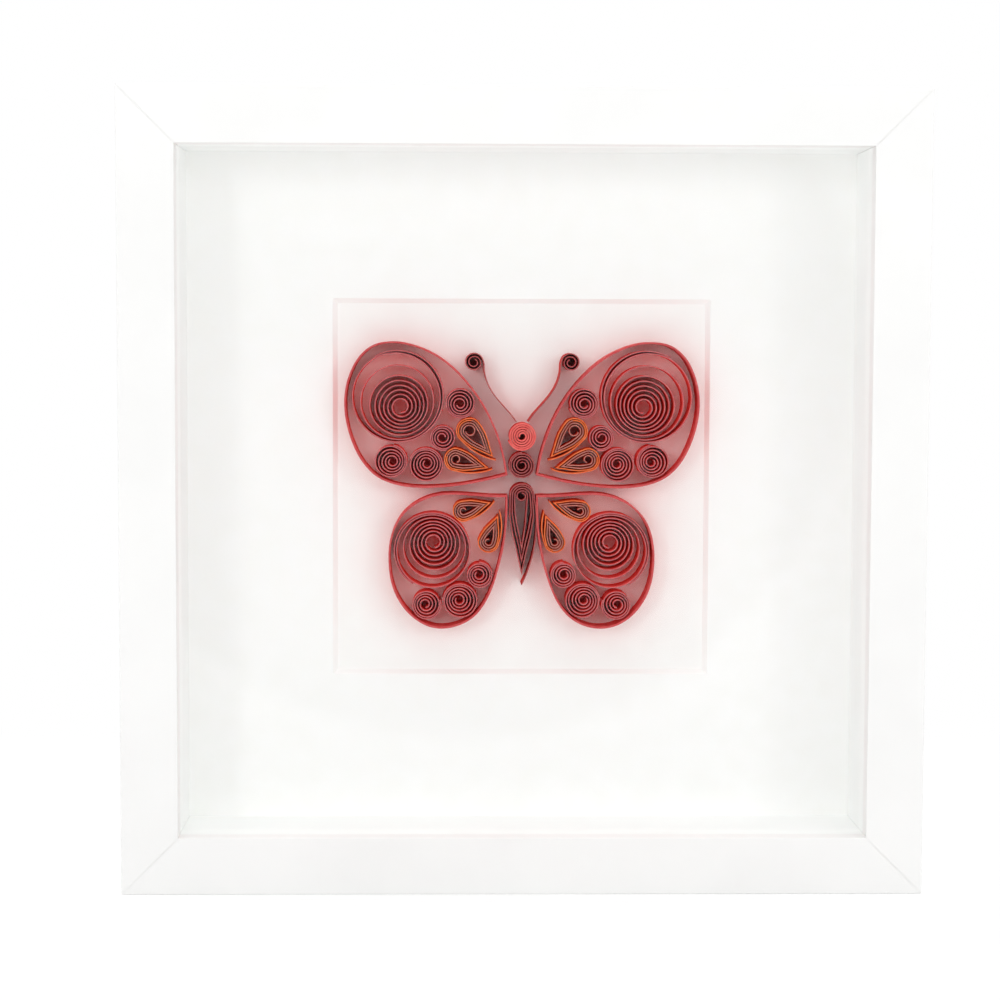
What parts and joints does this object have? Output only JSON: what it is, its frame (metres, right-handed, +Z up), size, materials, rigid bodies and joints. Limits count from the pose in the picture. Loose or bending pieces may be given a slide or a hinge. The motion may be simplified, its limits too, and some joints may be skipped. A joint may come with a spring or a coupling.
{
  "type": "framed quilled paper art",
  "caption": "White square shadow-box frame with glazing, spacers and a bevelled mat round a picture of a butterfly quilled from edge-standing paper strips.",
  "frame": {"origin": "middle of the frame's underside, where it stands on a shelf", "axes": "+Z up, the glazed front looks along -Y, +X to the right as seen from the front"},
  "size_m": [0.25, 0.045, 0.25],
  "materials": {
    "white_paint": "satin",
    "white_foam_strip": "matte",
    "glazing": "polished",
    "mat_board": "matte",
    "art_card": "matte",
    "hardboard": "matte",
    "tab_steel": "satin",
    "nail_steel": "satin",
    "hanger_steel": "satin",
    "rose_strip": "matte",
    "crimson_strip": "matte",
    "burgundy_strip": "matte",
    "orange_strip": "matte",
    "coral_strip": "matte"
  },
  "bodies": {
    "root": {"abdomen_drop": "burgundy_strip", "antenna_left": "burgundy_strip", "antenna_right": "burgundy_strip", "art_card": "art_card", "backing_board": "hardboard", "corner_nails": "nail_steel", "glazing": "glazing", "hanger": "hanger_steel", "head_coil": "coral_strip", "lower_end_coil_left": "rose_strip", "lower_end_coil_right": "rose_strip", "lower_inner_coil_left": "rose_strip", "lower_inner_coil_right": "rose_strip", "lower_large_coil_left": "rose_strip", "lower_large_coil_right": "rose_strip", "lower_leading_drop_left": "orange_strip", "lower_leading_drop_right": "orange_strip", "lower_side_coil_left": "rose_strip", "lower_side_coil_right": "rose_strip", "lower_trailing_drop_left": "orange_strip", "lower_trailing_drop_right": "orange_strip", "lower_wing_rim_left": "crimson_strip", "lower_wing_rim_right": "crimson_strip", "mat_board": "mat_board", "rail_bottom": "white_paint", "rail_left": "white_paint", "rail_right": "white_paint", "rail_top": "white_paint", "retaining_tabs": "tab_steel", "spacer_bottom": "white_foam_strip", "spacer_left": "white_foam_strip", "spacer_right": "white_foam_strip", "spacer_top": "white_foam_strip", "thorax_coil": "burgundy_strip", "upper_inner_coil_left": "rose_strip", "upper_inner_coil_right": "rose_strip", "upper_large_coil_left": "rose_strip", "upper_large_coil_right": "rose_strip", "upper_leading_coil_left": "rose_strip", "upper_leading_coil_right": "rose_strip", "upper_leading_drop_left": "orange_strip", "upper_leading_drop_right": "orange_strip", "upper_tip_coil_left": "rose_strip", "upper_tip_coil_right": "rose_strip", "upper_trailing_coil_left": "rose_strip", "upper_trailing_coil_right": "rose_strip", "upper_trailing_drop_left": "orange_strip", "upper_trailing_drop_right": "orange_strip", "upper_wing_rim_left": "crimson_strip", "upper_wing_rim_right": "crimson_strip"}
  },
  "joints": []
}
